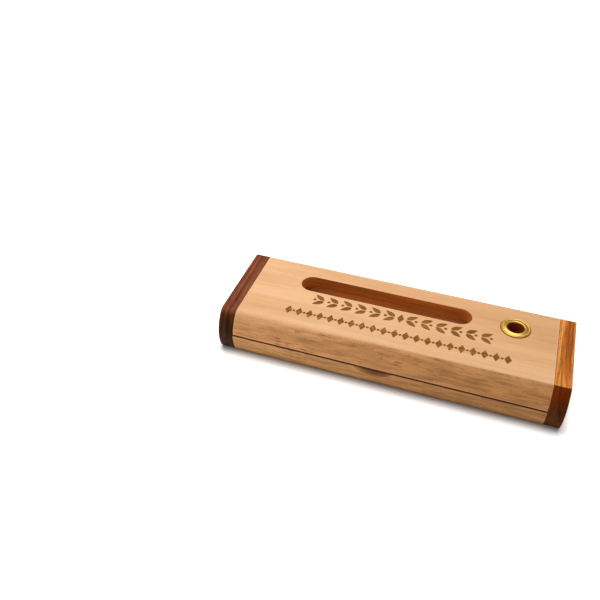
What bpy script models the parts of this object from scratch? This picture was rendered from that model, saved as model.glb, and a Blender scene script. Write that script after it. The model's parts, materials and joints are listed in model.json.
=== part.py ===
"""A flip-top wooden pen box: a beech base and lid between two rosewood end caps, with a brass pen socket.

The box lies along X with its front at -Y and rests on the plane z = 0. All sizes are in metres.
"""

import math

import bmesh
import bpy
from mathutils import Vector

# The outside of the box. Each side is one arc, and HALF_FLAT is where it would meet the top and the bottom.
LENGTH = 0.175
HEIGHT = 0.025
HALF_FLAT = 0.0266
BULGE = 0.0042
TOP_ROUND = 0.0024
BOTTOM_ROUND = 0.0022
CAP_THICKNESS = 0.008
EASED_EDGE = 0.0004

# Gaps between pieces.
GLUE_GAP = 0.0003
SIDE_GAP = 0.0003
SEAM_GAP = 0.0005

# The line where the lid meets the base, and the round back edge that lets the lid turn on its pins.
BASE_TOP = 0.0122
LID_BOTTOM = BASE_TOP + SEAM_GAP
HINGE_ROUND = 0.005
PIN_RADIUS = 0.0012
PIN_CLEARANCE = 0.00015
PIN_DEPTH_IN_CAP = 0.0055
PIN_DEPTH_IN_LID = 0.006

# The pen's channel, the window over it and the brass socket, all on one line towards the back.
PEN_LINE_Y = 0.0103
CHANNEL_LENGTH = 0.148
CHANNEL_RADIUS = 0.0065
CHANNEL_DEPTH_IN_BASE = 0.0072
CHANNEL_DEPTH_IN_LID = 0.0058
WINDOW_X = -0.0093
WINDOW_LENGTH = 0.0914
WINDOW_RADIUS = 0.0063
SOCKET_X = 0.0583
SOCKET_FLANGE_RADIUS = 0.0076
SOCKET_FLANGE_RISE = 0.0009
SOCKET_FLANGE_SEAT = 0.0006
SOCKET_TUBE_RADIUS = 0.0052
SOCKET_HOLE_RADIUS = 0.0043
SOCKET_LENGTH = 0.0062
SOCKET_LIP = 0.00045

# The finger scoop in the base, under the front edge of the lid.
SCOOP_X = -0.0049
SCOOP_HALF_WIDTH = 0.0095
SCOOP_DEPTH = 0.0034
SCOOP_DROP = 0.0045

# Dowels that hold each cap to the base, and disc magnets that hold the lid shut.
DOWEL_RADIUS = 0.0025
DOWEL_DEPTH_IN_CAP = 0.005
DOWEL_DEPTH_IN_BASE = 0.011
DOWEL_Z = 0.0062
DOWEL_YS = {"front": -0.0150, "rear": 0.0240}
MAGNET_RADIUS = 0.003
MAGNET_THICKNESS = 0.002
MAGNET_X = 0.062
MAGNET_Y = -0.020
MAGNET_RECESS = 0.0002

# How finely round shapes are divided.
ROUND_STEPS = 6
SIDE_STEPS = 14
CIRCLE_STEPS = 32
HALF_CIRCLE_STEPS = 16
OVERSHOOT = 0.002

# Worked out from the dimensions above. Section points are (y, z) pairs.
SIDE_RADIUS = (HEIGHT**2 / 4 + BULGE**2) / (2 * BULGE)
SIDE_CENTRE = (HALF_FLAT + BULGE - SIDE_RADIUS, HEIGHT / 2)
CAP_INNER_X = LENGTH / 2 - CAP_THICKNESS
BASE_END_X = CAP_INNER_X - GLUE_GAP
LID_END_X = CAP_INNER_X - SIDE_GAP
PIVOT_Z = LID_BOTTOM + HINGE_ROUND
PIVOT_Y = SIDE_CENTRE[0] + math.sqrt(
    (SIDE_RADIUS - HINGE_ROUND) ** 2 - (PIVOT_Z - SIDE_CENTRE[1]) ** 2
)
PIVOT = Vector((0, PIVOT_Y, PIVOT_Z))


def clear_scene():
    for old in list(bpy.data.objects):
        bpy.data.objects.remove(old, do_unlink=True)


def material(name, colour, roughness, metallic=0.0):
    """A plain Principled material."""
    made = bpy.data.materials.new(name)
    made.use_nodes = True
    made.diffuse_color = (*colour, 1)
    shader = made.node_tree.nodes["Principled BSDF"]
    shader.inputs["Base Color"].default_value = (*colour, 1)
    shader.inputs["Roughness"].default_value = roughness
    shader.inputs["Metallic"].default_value = metallic
    return made


def beech():
    return material("beech", (0.80, 0.52, 0.30), 0.5)


def rosewood():
    return material("rosewood", (0.20, 0.07, 0.035), 0.4)


def brass():
    return material("brass", (0.80, 0.60, 0.25), 0.25, 1.0)


def steel():
    return material("steel", (0.55, 0.55, 0.55), 0.35, 1.0)


def nickel():
    return material("nickel", (0.65, 0.64, 0.62), 0.25, 1.0)


def arc(centre, radius, start, end, steps):
    """Section points on an arc, from the angle start to the angle end."""
    points = []
    for step in range(steps + 1):
        angle = start + (end - start) * step / steps
        points.append((centre[0] + radius * math.cos(angle), centre[1] + radius * math.sin(angle)))
    return points


def side_angle(z):
    """Where on the back side's arc a height lies."""
    return math.asin((z - SIDE_CENTRE[1]) / SIDE_RADIUS)


def side_arc(start, end):
    return arc(SIDE_CENTRE, SIDE_RADIUS, start, end, SIDE_STEPS)


def rounding(face_z, radius):
    """The rounding between a flat face and the back side, as its centre and the angle where it meets the side."""
    towards_middle = math.copysign(radius, SIDE_CENTRE[1] - face_z)
    z = face_z + towards_middle
    y = SIDE_CENTRE[0] + math.sqrt((SIDE_RADIUS - radius) ** 2 - (z - SIDE_CENTRE[1]) ** 2)
    return (y, z), math.atan2(z - SIDE_CENTRE[1], y - SIDE_CENTRE[0])


def back_side(top, bottom):
    """The back side's outline, downwards. A limit of None takes in the rounding at that end."""
    top_centre, top_angle = rounding(HEIGHT, TOP_ROUND)
    bottom_centre, bottom_angle = rounding(0, BOTTOM_ROUND)
    start = top_angle if top is None else side_angle(top)
    end = bottom_angle if bottom is None else side_angle(bottom)
    points = side_arc(start, end)
    if top is None:
        points = arc(top_centre, TOP_ROUND, math.pi / 2, top_angle, ROUND_STEPS)[:-1] + points
    if bottom is None:
        points += arc(bottom_centre, BOTTOM_ROUND, bottom_angle, -math.pi / 2, ROUND_STEPS)[1:]
    return points


def front_side(top, bottom):
    """The front side's outline, upwards."""
    return [(-y, z) for y, z in reversed(back_side(top, bottom))]


def cap_section():
    return back_side(None, None) + front_side(None, None)


def base_section():
    return back_side(BASE_TOP, None) + front_side(BASE_TOP, None)


def lid_section():
    """The lid's outline, whose lower back edge is an arc round the hinge pins."""
    top_centre, top_angle = rounding(HEIGHT, TOP_ROUND)
    hinge_angle = math.atan2(PIVOT_Z - SIDE_CENTRE[1], PIVOT_Y - SIDE_CENTRE[0])
    back = arc(top_centre, TOP_ROUND, math.pi / 2, top_angle, ROUND_STEPS)[:-1]
    back += side_arc(top_angle, hinge_angle)
    back += arc((PIVOT_Y, PIVOT_Z), HINGE_ROUND, hinge_angle, -math.pi / 2, HALF_CIRCLE_STEPS)[1:]
    return back + front_side(None, LID_BOTTOM)


def circle_section(centre, radius):
    return arc(centre, radius, 0, 2 * math.pi, CIRCLE_STEPS)[:-1]


def lofted(name, rings, closed=False):
    """An object from rings of points, each joined to the next. A closed loft joins its last ring to its first."""
    mesh = bmesh.new()
    loops = [[mesh.verts.new(point) for point in ring] for ring in rings]
    pairs = list(zip(loops, loops[1:]))
    if closed:
        pairs.append((loops[-1], loops[0]))
    else:
        mesh.faces.new(loops[0])
        mesh.faces.new(loops[-1])
    count = len(loops[0])
    for lower, upper in pairs:
        for i in range(count):
            following = (i + 1) % count
            mesh.faces.new((lower[i], lower[following], upper[following], upper[i]))
    bmesh.ops.recalc_face_normals(mesh, faces=mesh.faces)
    data = bpy.data.meshes.new(name)
    mesh.to_mesh(data)
    mesh.free()
    made = bpy.data.objects.new(name, data)
    bpy.context.collection.objects.link(made)
    return made


def prism(name, section, low_x, high_x):
    """A section of (y, z) points carried along X."""
    return lofted(name, [[Vector((x, y, z)) for y, z in section] for x in (low_x, high_x)])


def obround(x, y, z, half_run, radius):
    """A ring in plan: two half circles joined by straight runs along X. No run makes a circle."""
    points = []
    for side, first in ((1, -math.pi / 2), (-1, math.pi / 2)):
        for step in range(HALF_CIRCLE_STEPS + (half_run > 0)):
            angle = first + math.pi * step / HALF_CIRCLE_STEPS
            along = side * half_run + radius * math.cos(angle)
            points.append(Vector((x + along, y + radius * math.sin(angle), z)))
    return points


def routed(name, x, y, half_run, levels):
    """What a router bit cuts, or a disc, from (z, radius) levels."""
    return lofted(name, [obround(x, y, z, half_run, radius) for z, radius in levels])


def as_cutter(made):
    made.hide_render = True
    made.display_type = "WIRE"
    return made


def cut(body, cutter):
    modifier = body.modifiers.new(cutter.name, "BOOLEAN")
    modifier.operation = "DIFFERENCE"
    modifier.object = as_cutter(cutter)


def ease_edges(made, width=EASED_EDGE):
    modifier = made.modifiers.new("eased_edges", "BEVEL")
    modifier.width = width
    modifier.segments = 2
    modifier.limit_method = "ANGLE"
    modifier.angle_limit = math.radians(40)


def finish(made, surface):
    made.data.materials.append(surface)
    made.data.shade_smooth()
    made.data.set_sharp_from_angle(angle=math.radians(32))
    return made


def put_origin(made, origin):
    """Moves the object's origin to a point and leaves its shape where it is."""
    for vertex in made.data.vertices:
        vertex.co -= origin
    made.location = origin


def carry(piece, carrier):
    """Makes one piece the child of another, both staying in place."""
    piece.parent = carrier
    piece.location = piece.location - carrier.location


def cut_pin_hole(body, side, end_x, depth, clearance):
    """A blind hole on the hinge line, into the face at end_x, towards +X or -X as depth's sign says."""
    section = circle_section((PIVOT_Y, PIVOT_Z), PIN_RADIUS + clearance)
    ends = sorted((end_x - math.copysign(OVERSHOOT, depth), end_x + depth))
    cut(body, prism(f"cut_{body.name}_{side}_pin", section, *ends))


def cut_dowel_holes(body, side, end_x, depth):
    for place, y in DOWEL_YS.items():
        section = circle_section((y, DOWEL_Z), DOWEL_RADIUS + GLUE_GAP)
        ends = sorted((end_x - math.copysign(OVERSHOOT, depth), end_x + depth))
        cut(body, prism(f"cut_{body.name}_{side}_{place}_dowel", section, *ends))


def cut_magnet_pockets(body, face_z, inward):
    """A pocket for each disc in the meeting face of the base or the lid."""
    depth = MAGNET_RECESS + MAGNET_THICKNESS + GLUE_GAP
    levels = sorted((face_z - inward * OVERSHOOT, face_z + inward * depth))
    for side, sign in (("left", -1), ("right", 1)):
        rings = [(z, MAGNET_RADIUS + GLUE_GAP) for z in levels]
        cut(body, routed(f"cut_{body.name}_{side}_magnet", sign * MAGNET_X, MAGNET_Y, 0, rings))


def cut_base_channel(body):
    """The pen's bed, with a round bottom and round ends."""
    middle_z = BASE_TOP - CHANNEL_DEPTH_IN_BASE + CHANNEL_RADIUS
    levels = []
    for degrees in (15, 30, 45, 60, 75, 90):
        angle = math.radians(degrees)
        levels.append((middle_z - CHANNEL_RADIUS * math.cos(angle), CHANNEL_RADIUS * math.sin(angle)))
    levels.append((BASE_TOP + OVERSHOOT, CHANNEL_RADIUS))
    half_run = CHANNEL_LENGTH / 2 - CHANNEL_RADIUS
    cut(body, routed("cut_base_channel", 0, PEN_LINE_Y, half_run, levels))


def cut_scoop(body):
    """The finger scoop: an ellipsoid sunk into the base's front top edge."""
    mesh = bmesh.new()
    bmesh.ops.create_uvsphere(mesh, u_segments=CIRCLE_STEPS, v_segments=HALF_CIRCLE_STEPS, radius=1)
    front_y = -(SIDE_CENTRE[0] + SIDE_RADIUS * math.cos(side_angle(BASE_TOP)))
    half_sizes = (SCOOP_HALF_WIDTH, SCOOP_DEPTH, SCOOP_DROP)
    bmesh.ops.scale(mesh, vec=half_sizes, verts=mesh.verts)
    bmesh.ops.translate(mesh, vec=(SCOOP_X, front_y, BASE_TOP), verts=mesh.verts)
    data = bpy.data.meshes.new("cut_base_scoop")
    mesh.to_mesh(data)
    mesh.free()
    scoop = bpy.data.objects.new("cut_base_scoop", data)
    bpy.context.collection.objects.link(scoop)
    cut(body, scoop)


def make_base(wood):
    base = prism("base", base_section(), -BASE_END_X, BASE_END_X)
    ease_edges(base)
    cut_base_channel(base)
    cut_scoop(base)
    cut_magnet_pockets(base, BASE_TOP, -1)
    cut_dowel_holes(base, "left", -BASE_END_X, DOWEL_DEPTH_IN_BASE)
    cut_dowel_holes(base, "right", BASE_END_X, -DOWEL_DEPTH_IN_BASE)
    return finish(base, wood)


def make_lid(wood):
    lid = prism("lid", lid_section(), -LID_END_X, LID_END_X)
    put_origin(lid, PIVOT)
    ease_edges(lid)
    channel_top = LID_BOTTOM + CHANNEL_DEPTH_IN_LID
    half_run = CHANNEL_LENGTH / 2 - CHANNEL_RADIUS
    levels = [(LID_BOTTOM - OVERSHOOT, CHANNEL_RADIUS), (channel_top, CHANNEL_RADIUS)]
    cut(lid, routed("cut_lid_channel", 0, PEN_LINE_Y, half_run, levels))
    window_run = WINDOW_LENGTH / 2 - WINDOW_RADIUS
    levels = [(channel_top - OVERSHOOT, WINDOW_RADIUS), (HEIGHT + OVERSHOOT, WINDOW_RADIUS)]
    cut(lid, routed("cut_lid_window", WINDOW_X, PEN_LINE_Y, window_run, levels))
    seat_z = HEIGHT - SOCKET_FLANGE_SEAT
    flange_hole = SOCKET_FLANGE_RADIUS + GLUE_GAP
    tube_hole = SOCKET_TUBE_RADIUS + GLUE_GAP
    levels = [(channel_top - OVERSHOOT, tube_hole), (seat_z - GLUE_GAP, tube_hole)]
    levels += [(seat_z - GLUE_GAP, flange_hole), (HEIGHT + OVERSHOOT, flange_hole)]
    cut(lid, routed("cut_lid_socket", SOCKET_X, PEN_LINE_Y, 0, levels))
    cut_magnet_pockets(lid, LID_BOTTOM, 1)
    cut_pin_hole(lid, "left", -LID_END_X, PIN_DEPTH_IN_LID, PIN_CLEARANCE)
    cut_pin_hole(lid, "right", LID_END_X, -PIN_DEPTH_IN_LID, PIN_CLEARANCE)
    return finish(lid, wood)


def make_cap(side, sign, wood):
    """An end cap, a full section of the box with blind holes in its inner face."""
    inner_x = sign * CAP_INNER_X
    ends = sorted((inner_x, sign * LENGTH / 2))
    cap = prism(f"{side}_end_cap", cap_section(), *ends)
    ease_edges(cap)
    cut_dowel_holes(cap, side, inner_x, sign * (DOWEL_DEPTH_IN_CAP + GLUE_GAP))
    cut_pin_hole(cap, side, inner_x, sign * (PIN_DEPTH_IN_CAP + GLUE_GAP), GLUE_GAP)
    return finish(cap, wood)


def make_pin(side, sign, metal):
    """A hinge pin, fast in its cap, with its inner end in the lid."""
    outer_x = CAP_INNER_X + PIN_DEPTH_IN_CAP
    inner_x = LID_END_X - PIN_DEPTH_IN_LID + GLUE_GAP
    ends = sorted((sign * inner_x, sign * outer_x))
    section = circle_section((PIVOT_Y, PIVOT_Z), PIN_RADIUS)
    pin = prism(f"{side}_hinge_pin", section, *ends)
    put_origin(pin, Vector((sign * CAP_INNER_X, PIVOT_Y, PIVOT_Z)))
    ease_edges(pin, PIN_RADIUS / 6)
    return finish(pin, metal)


def make_dowels(side, sign, wood):
    outer_x = CAP_INNER_X + DOWEL_DEPTH_IN_CAP
    inner_x = BASE_END_X - DOWEL_DEPTH_IN_BASE + GLUE_GAP
    ends = sorted((sign * inner_x, sign * outer_x))
    for place, y in DOWEL_YS.items():
        section = circle_section((y, DOWEL_Z), DOWEL_RADIUS)
        dowel = prism(f"{side}_{place}_dowel", section, *ends)
        ease_edges(dowel)
        finish(dowel, wood)


def make_magnet(owner, side, sign, low_z, metal):
    levels = [(low_z, MAGNET_RADIUS), (low_z + MAGNET_THICKNESS, MAGNET_RADIUS)]
    magnet = routed(f"{side}_{owner}_magnet", sign * MAGNET_X, MAGNET_Y, 0, levels)
    ease_edges(magnet, EASED_EDGE / 2)
    return finish(magnet, metal)


def make_socket(metal):
    """The brass pen socket: a tube with a flange round its mouth, turned about the upright axis of its hole."""
    top_z = HEIGHT + SOCKET_FLANGE_RISE
    under_z = HEIGHT - SOCKET_FLANGE_SEAT
    foot_z = HEIGHT - SOCKET_LENGTH
    mouth = (SOCKET_HOLE_RADIUS + SOCKET_LIP, top_z - SOCKET_LIP)
    rim = (SOCKET_FLANGE_RADIUS - SOCKET_LIP, top_z - SOCKET_LIP)
    profile = arc(mouth, SOCKET_LIP, math.pi, math.pi / 2, ROUND_STEPS)
    profile += arc(rim, SOCKET_LIP, math.pi / 2, 0, ROUND_STEPS)
    profile += [(SOCKET_FLANGE_RADIUS, under_z), (SOCKET_TUBE_RADIUS, under_z)]
    profile += [(SOCKET_TUBE_RADIUS, foot_z), (SOCKET_HOLE_RADIUS, foot_z)]
    rings = [obround(SOCKET_X, PEN_LINE_Y, z, 0, radius) for radius, z in profile]
    socket = lofted("pen_socket", rings, closed=True)
    return finish(socket, metal)


def build():
    clear_scene()
    pale_wood = beech()
    dark_wood = rosewood()
    pin_metal = steel()
    magnet_metal = nickel()
    make_base(pale_wood)
    lid = make_lid(pale_wood)
    carry(make_socket(brass()), lid)
    for side, sign in (("left", -1), ("right", 1)):
        make_cap(side, sign, dark_wood)
        make_pin(side, sign, pin_metal)
        make_dowels(side, sign, pale_wood)
        make_magnet("base", side, sign, BASE_TOP - MAGNET_RECESS - MAGNET_THICKNESS, magnet_metal)
        carry(make_magnet("lid", side, sign, LID_BOTTOM + MAGNET_RECESS, magnet_metal), lid)


build()
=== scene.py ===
"""The looks of a flip-top pen box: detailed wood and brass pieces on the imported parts, and a pale studio."""

import json
from math import asin, atan2, cos, pi, radians, sin, sqrt

import bmesh
import bpy
from mathutils import Matrix, Vector


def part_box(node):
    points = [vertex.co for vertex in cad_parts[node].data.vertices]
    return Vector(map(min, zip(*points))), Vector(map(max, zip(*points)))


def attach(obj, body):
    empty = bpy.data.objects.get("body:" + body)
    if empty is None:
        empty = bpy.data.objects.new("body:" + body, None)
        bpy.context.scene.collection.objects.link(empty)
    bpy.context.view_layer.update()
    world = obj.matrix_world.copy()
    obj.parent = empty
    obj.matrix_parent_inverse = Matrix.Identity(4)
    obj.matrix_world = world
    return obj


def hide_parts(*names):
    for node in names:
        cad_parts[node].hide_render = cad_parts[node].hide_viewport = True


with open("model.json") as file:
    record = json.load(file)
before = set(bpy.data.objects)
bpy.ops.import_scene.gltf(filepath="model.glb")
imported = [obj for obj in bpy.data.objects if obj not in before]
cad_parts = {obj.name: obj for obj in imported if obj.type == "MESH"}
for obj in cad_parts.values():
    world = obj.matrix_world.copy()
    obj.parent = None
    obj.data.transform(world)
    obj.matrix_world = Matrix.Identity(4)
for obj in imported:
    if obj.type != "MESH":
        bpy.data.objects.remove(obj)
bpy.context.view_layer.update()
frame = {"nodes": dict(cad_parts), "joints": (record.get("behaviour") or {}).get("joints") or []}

MM = 0.001

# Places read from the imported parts.
CAP_LOW, CAP_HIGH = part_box("right_end_cap")
SOCKET_LOW, SOCKET_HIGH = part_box("pen_socket")
MAGNET_LOW, MAGNET_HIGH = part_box("right_base_magnet")
PIN_LOW, PIN_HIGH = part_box("right_hinge_pin")
DOWEL_LOW, DOWEL_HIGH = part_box("right_front_dowel")
REAR_DOWEL_LOW, REAR_DOWEL_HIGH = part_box("right_rear_dowel")
HALF_LENGTH = CAP_HIGH.x
HALF_WIDTH = CAP_HIGH.y
HEIGHT = CAP_HIGH.z
MIDDLE_Z = HEIGHT / 2
CAP_INNER_X = CAP_LOW.x
BASE_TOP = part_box("base")[1].z
LID_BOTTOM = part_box("lid")[0].z
PIVOT = Vector(frame["joints"][0]["pos_m"])
PEN_LINE_Y = (SOCKET_LOW.y + SOCKET_HIGH.y) / 2
SOCKET_X = (SOCKET_LOW.x + SOCKET_HIGH.x) / 2
FLANGE_RADIUS = (SOCKET_HIGH.x - SOCKET_LOW.x) / 2

# Shapes that the parts' boxes don't give. Pairs go evenly from the box's left end to its right end.
BULGE = 4.2 * MM
FRONT_BULGE = (5.0 * MM, 6.0 * MM)
FRONT_EDGE_ROUND = (5.0 * MM, 0.6 * MM)
BACK_EDGE_ROUND = (2.9 * MM, 1.7 * MM)
BOTTOM_ROUND = 2.0 * MM
SEAM_ROUND = 0.15 * MM
BASE_END_X = CAP_INNER_X - 0.03 * MM
LID_END_X = CAP_INNER_X - 0.12 * MM
CHANNEL_LENGTH = 148 * MM
CHANNEL_RADIUS = 6.5 * MM
CHANNEL_DEPTH_IN_BASE = 7.2 * MM
CHANNEL_DEPTH_IN_LID = 5.8 * MM
WINDOW_X = -9.3 * MM
WINDOW_LENGTH = 91.4 * MM
WINDOW_RADIUS = 6.25 * MM
TUBE_RADIUS = 5.2 * MM
HOLE_RADIUS = 4.15 * MM
SCOOP_X = -4.6 * MM
SCOOP_HALF_LENGTH = 9.5 * MM
SCOOP_HEIGHT = 4.5 * MM
SCOOP_DEPTH = 2.4 * MM
SCOOP_RIM_ANGLE = 42
CLEARANCE = 0.12 * MM
RIM_GAP = 0.28 * MM
OVERSHOOT = 2 * MM
WELD_DISTANCE = 0.001 * MM
BASE_EASE = 0.15 * MM
LID_EASE = 0.3 * MM
CAP_OUTER_EASE = 0.55 * MM
CAP_INNER_EASE = 0.15 * MM
CHANNEL_EASE = 0.3 * MM
WINDOW_EASE = 0.2 * MM

# The brass socket: the flange under the lid's face, the bead round its rim, its dish, and its rolled crest.
FLANGE_THICKNESS = 0.6 * MM
BEAD_RADIUS = 0.42 * MM
BEAD_LIFT = 0.12 * MM
BEAD_ANGLE = 125
DISH_SAG = 0.10 * MM
DISH_END = (0.5 * MM, 0.1 * MM)
CREST_SHIFT = 0.35 * MM
CREST_DROP = 0.9 * MM
CREST_ANGLE = 60
BORE_MARGIN = 0.05 * MM
BORE_SHADE_DEPTH = 0.1 * MM

# How finely round shapes are divided.
ROUND_STEPS = 8
SIDE_STEPS = 40
HINGE_STEPS = 20
HALF_CIRCLE_STEPS = 32
STATIONS = 12
EASE_STEPS = 3
BED_STEPS = 12
BEAD_STEPS = 10
DISH_STEPS = 8
CREST_STEPS = 12
LEAF_STEPS = 7
DOT_STEPS = 16
SCOOP_STEPS = (96, 64)

# The engraved ornament: a row of leaves over a row of diamonds and dots, in place of lettering.
ENGRAVING_DEPTH = 0.22 * MM
LEAF_ROW = {"y": -2.3 * MM, "low": -43.5 * MM, "high": 47.3 * MM, "count": 12}
LEAF_LENGTH = 6.6 * MM
LEAF_WIDTH = 2.9 * MM
LEAF_FULLNESS = 0.8
LEAF_TILT = 34
LEAF_START = 3.0 * MM
LEAF_STALK = 0.7 * MM
BERRY_RADIUS = 0.85 * MM
BERRY_REACH = 5.0 * MM
MIDDLE_DIAMOND = (3.6 * MM, 7.0 * MM)
DIAMOND_ROW = {"y": -15.0 * MM, "low": -57.0 * MM, "high": 60.0 * MM, "count": 21}
DIAMOND = (3.7 * MM, 6.4 * MM)
DOT_RADIUS = 0.75 * MM

# The camera: its place, its turns in degrees, its lens and sensor in millimetres, and its shift.
CAMERA_PLACE = Vector((40.9, -309.9, 274.2)) * MM
CAMERA_TURN = 18.40
CAMERA_DOWN = 37.42
CAMERA_ROLL = 1.25
CAMERA_LENS = 46.11
CAMERA_SENSOR = 36
CAMERA_SHIFT = (0.0271, -0.0158)
CAMERA_NEAR = 0.01

# Studio light, in watts and metres: the softbox, the white surroundings, and the glow of the light table,
# whose fade near the box paints a contact shadow.
OVERHEAD_POWER = 17.5
OVERHEAD_PLACE = (-0.15, 0.25, 1.15)
OVERHEAD_SIZE = 1.1
SKY = 0.35
TABLE_GLOW = 0.45
FAR_GLOW = 0.7
FAR_GLOW_FROM = 0.5
FAR_GLOW_TO = 1.5
FOOTPRINT = (86.5 * MM, 26.6 * MM, 0)
PAINTED_SHADOW_REACH = 8 * MM
FLOOR_SIZE = 6
FLOOR_DROP = 0.02 * MM
BACKDROP_RADIUS = 2.9


# ---- outlines


def arc(centre, radius, start, end, steps):
    """Points on an arc, from the angle start to the angle end."""
    points = []
    for step in range(steps + 1):
        angle = start + (end - start) * step / steps
        points.append((centre[0] + radius * cos(angle), centre[1] + radius * sin(angle)))
    return points


def between(pair, x):
    """The value at x of a measure that goes evenly from its left-end value to its right-end one."""
    share = (x + HALF_LENGTH) / (2 * HALF_LENGTH)
    return pair[0] + (pair[1] - pair[0]) * share


def side_arc(bulge):
    """The centre and the radius of a side that bulges by that much between the top face and the underside."""
    radius = (MIDDLE_Z**2 + bulge**2) / (2 * bulge)
    return (HALF_WIDTH - radius, MIDDLE_Z), radius


def rounding(face_z, radius, inward, bulge):
    """The rounding between a flat face and a side: its centre, and the angle where it meets the side."""
    centre, side_radius = side_arc(bulge)
    z = face_z + inward * radius
    y = centre[0] + sqrt((side_radius - radius) ** 2 - (z - centre[1]) ** 2)
    return (y, z), atan2(z - centre[1], y - centre[0])


def upper_side(top_radius, bulge):
    """A side's outline from the top face down to the middle, where it stands upright."""
    round_centre, angle = rounding(HEIGHT, top_radius, -1, bulge)
    centre, radius = side_arc(bulge)
    points = arc(round_centre, top_radius, pi / 2, angle, ROUND_STEPS)
    return points + arc(centre, radius, angle, 0, SIDE_STEPS)[1:]


def lower_side(top_z):
    """A side's outline from a height just under the middle down to the underside."""
    round_centre, bottom_angle = rounding(0, BOTTOM_ROUND, 1, BULGE)
    centre, radius = side_arc(BULGE)
    top_angle = asin((top_z - centre[1]) / radius)
    points = arc(centre, radius, top_angle, bottom_angle, SIDE_STEPS)[:-1]
    return points + arc(round_centre, BOTTOM_ROUND, bottom_angle, -pi / 2, ROUND_STEPS)


def mirrored(points):
    """An outline of the back as one of the front, the other way round."""
    return [(-y, z) for y, z in reversed(points)]


def cap_section(x):
    back = upper_side(between(BACK_EDGE_ROUND, x), BULGE) + lower_side(MIDDLE_Z)[1:]
    front = upper_side(between(FRONT_EDGE_ROUND, x), between(FRONT_BULGE, x)) + lower_side(MIDDLE_Z)[1:]
    return back + mirrored(front)


def base_section(x):
    round_centre, angle = rounding(BASE_TOP, SEAM_ROUND, -1, BULGE)
    side = arc(round_centre, SEAM_ROUND, pi / 2, angle, ROUND_STEPS)
    side += lower_side(round_centre[1] + SEAM_ROUND * sin(angle))[1:]
    return side + mirrored(side)


def lid_section(x):
    """The lid's outline, whose lower back edge is an arc round the hinge pins."""
    hinge_round = PIVOT.z - LID_BOTTOM
    centre, radius = side_arc(BULGE)
    back_round = between(BACK_EDGE_ROUND, x)
    top_centre, top_angle = rounding(HEIGHT, back_round, -1, BULGE)
    hinge_angle = atan2(PIVOT.z - centre[1], PIVOT.y - centre[0])
    back = arc(top_centre, back_round, pi / 2, top_angle, ROUND_STEPS)
    back += arc(centre, radius, top_angle, hinge_angle, SIDE_STEPS)[1:]
    back += arc((PIVOT.y, PIVOT.z), hinge_round, hinge_angle, -pi / 2, HINGE_STEPS)[1:]
    front_bulge = between(FRONT_BULGE, x)
    front_round = between(FRONT_EDGE_ROUND, x)
    round_centre, angle = rounding(HEIGHT, front_round, -1, front_bulge)
    seam_centre, seam_angle = rounding(LID_BOTTOM, SEAM_ROUND, 1, front_bulge)
    centre, radius = side_arc(front_bulge)
    front = arc(round_centre, front_round, pi / 2, angle, ROUND_STEPS)
    front += arc(centre, radius, angle, seam_angle, SIDE_STEPS)[1:-1]
    front += arc(seam_centre, SEAM_ROUND, seam_angle, -pi / 2, ROUND_STEPS)
    return back + mirrored(front)


def circle_section(centre, radius):
    return arc(centre, radius, 0, 2 * pi, HALF_CIRCLE_STEPS)[:-1]


def inset(section, amount):
    """A convex section moved inwards by that amount all round."""
    middle = Vector((sum(p[0] for p in section), sum(p[1] for p in section))) / len(section)
    moved = []
    for i, point in enumerate(section):
        before = Vector(section[i - 1])
        after = Vector(section[(i + 1) % len(section)])
        along = (after - before).normalized()
        inward = Vector((-along.y, along.x))
        if inward.dot(middle - Vector(point)) < 0:
            inward = -inward
        moved.append(tuple(Vector(point) + inward * amount))
    return moved


# ---- solids


def object_from(name, mesh):
    bmesh.ops.recalc_face_normals(mesh, faces=mesh.faces)
    data = bpy.data.meshes.new(name)
    mesh.to_mesh(data)
    mesh.free()
    made = bpy.data.objects.new(name, data)
    bpy.context.collection.objects.link(made)
    return made


def lofted(name, rings, closed=False):
    """An object from rings of points, each joined to the next, and in a closed one the last to the first."""
    mesh = bmesh.new()
    loops = [[mesh.verts.new(point) for point in ring] for ring in rings]
    pairs = list(zip(loops, loops[1:]))
    if closed:
        pairs.append((loops[-1], loops[0]))
    else:
        mesh.faces.new(loops[0])
        mesh.faces.new(loops[-1])
    count = len(loops[0])
    for lower, upper in pairs:
        for i in range(count):
            following = (i + 1) % count
            mesh.faces.new((lower[i], lower[following], upper[following], upper[i]))
    return object_from(name, mesh)


def block(name, section_at, low_x, high_x, low_ease, high_ease):
    """A block along X with a section for each x, whose two ends have eased edges of those widths."""
    quarter = [radians(90 * step / EASE_STEPS) for step in range(EASE_STEPS + 1)]
    rings = [(low_x + low_ease * (1 - cos(a)), low_ease * (1 - sin(a))) for a in quarter]
    span = (low_x + low_ease, high_x - high_ease)
    for step in range(1, STATIONS):
        rings.append((span[0] + (span[1] - span[0]) * step / STATIONS, 0))
    for angle in reversed(quarter):
        rings.append((high_x - high_ease * (1 - cos(angle)), high_ease * (1 - sin(angle))))
    made = []
    for x, amount in rings:
        made.append([Vector((x, y, z)) for y, z in inset(section_at(x), amount)])
    return lofted(name, made)


def obround(x, y, z, half_run, radius):
    """A ring in plan: two half circles joined by straight runs along X. No run makes a circle."""
    points = []
    for side, first in ((1, -pi / 2), (-1, pi / 2)):
        for step in range(HALF_CIRCLE_STEPS + (half_run > 0)):
            angle = first + pi * step / HALF_CIRCLE_STEPS
            along = side * half_run + radius * cos(angle)
            points.append(Vector((x + along, y + radius * sin(angle), z)))
    return points


def routed(name, x, y, half_run, levels):
    """What a router bit cuts, or a turned piece, from (z, radius) levels."""
    return lofted(name, [obround(x, y, z, half_run, radius) for z, radius in levels])


def eased_mouth(z, radius, ease):
    """The levels of a cutter that rounds over the edge where it leaves a top face at z."""
    levels = []
    for step in range(EASE_STEPS + 1):
        angle = radians(90 * step / EASE_STEPS)
        levels.append((z - ease * (1 - sin(angle)), radius + ease * (1 - cos(angle))))
    levels.append((z + OVERSHOOT, radius + 2 * ease))
    return levels


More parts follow.
